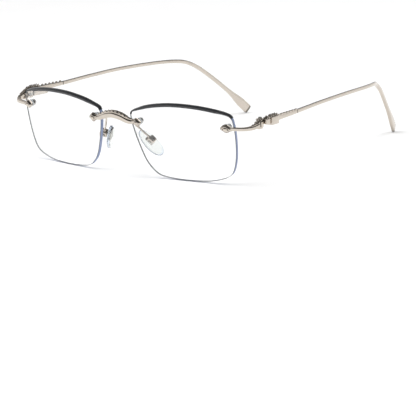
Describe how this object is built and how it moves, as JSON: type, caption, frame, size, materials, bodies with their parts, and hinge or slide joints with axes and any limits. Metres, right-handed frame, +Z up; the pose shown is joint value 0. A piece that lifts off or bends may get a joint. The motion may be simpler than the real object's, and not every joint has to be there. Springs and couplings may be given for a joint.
{
  "type": "rimless eyeglasses",
  "caption": "Rimless spectacles: clear lenses drilled and hung on a metal bridge and endpieces, black brow trims, silicone nose pads and sprung folding temples.",
  "frame": {"origin": "middle of the bounding box's base, on the surface that the lenses' bottom edges and the temple tips stand on", "axes": "+X to the wearer's left, +Y back along the temples, +Z up"},
  "size_m": [0.1469, 0.1618, 0.0354],
  "materials": {
    "champagne_metal": "pale champagne plating, polished",
    "steel": "turned stainless steel",
    "lens_clear": "clear polished demo lens",
    "pad_clear": "clear smooth silicone",
    "trim_black": "gloss black",
    "sleeve_plastic": "natural translucent nylon"
  },
  "bodies": {
    "front": {"bridge": "champagne_metal", "left_lens": "lens_clear", "right_lens": "lens_clear", "left_brow_trim": "trim_black", "right_brow_trim": "trim_black", "left_endpiece": "champagne_metal", "right_endpiece": "champagne_metal", "left_nasal_bushing": "sleeve_plastic", "right_nasal_bushing": "sleeve_plastic", "left_temporal_bushing": "sleeve_plastic", "right_temporal_bushing": "sleeve_plastic", "left_nasal_washer": "sleeve_plastic", "right_nasal_washer": "sleeve_plastic", "left_temporal_washer": "sleeve_plastic", "right_temporal_washer": "sleeve_plastic", "left_nasal_nut": "steel", "right_nasal_nut": "steel", "left_temporal_nut": "steel", "right_temporal_nut": "steel", "left_pad_arm": "champagne_metal", "right_pad_arm": "champagne_metal", "left_pad_box": "champagne_metal", "right_pad_box": "champagne_metal", "left_pad_screw": "steel", "right_pad_screw": "steel", "left_hinge_screw": "steel", "right_hinge_screw": "steel"},
    "left_slider": {"left_hinge_slider": "steel"},
    "right_slider": {"right_hinge_slider": "steel"},
    "left_temple_arm": {"left_temple": "champagne_metal", "left_spring_housing": "champagne_metal", "left_spring_plug": "steel", "left_coil_spring": "steel"},
    "right_temple_arm": {"right_temple": "champagne_metal", "right_spring_housing": "champagne_metal", "right_spring_plug": "steel", "right_coil_spring": "steel"},
    "left_pad": {"left_nose_pad": "pad_clear", "left_pad_insert": "steel"},
    "right_pad": {"right_nose_pad": "pad_clear", "right_pad_insert": "steel"}
  },
  "joints": [
    {"name": "left_temple_fold", "type": "hinge", "parent": "front", "child": "left_slider", "pos_m": [0.0685, -0.0601, 0.0281], "axis": [0, 0, 1], "range_deg": [-7.2, 78.2]},
    {"name": "right_temple_fold", "type": "hinge", "parent": "front", "child": "right_slider", "pos_m": [-0.0685, -0.0601, 0.0281], "axis": [0, 0, -1], "range_deg": [-0.95, 78.4]},
    {"name": "left_spring_slide", "type": "slide", "parent": "left_slider", "child": "left_temple_arm", "axis": [-0.1011, 0.9949, 0], "range_m": [0, 0.0012], "stiffness_N_per_m": 300, "deforming": ["left_coil_spring"]},
    {"name": "right_spring_slide", "type": "slide", "parent": "right_slider", "child": "right_temple_arm", "axis": [-0.0078, 1, 0], "range_m": [0, 0.0012], "stiffness_N_per_m": 300, "deforming": ["right_coil_spring"]},
    {"name": "left_pad_rock", "type": "hinge", "parent": "front", "child": "left_pad", "pos_m": [0.01443, -0.06987, 0.01638], "axis": [-0.1186, -0.8016, -0.586], "range_deg": [-8, 8]},
    {"name": "right_pad_rock", "type": "hinge", "parent": "front", "child": "right_pad", "pos_m": [-0.01443, -0.06987, 0.01638], "axis": [-0.1186, 0.8016, 0.586], "range_deg": [-8, 8]}
  ]
}
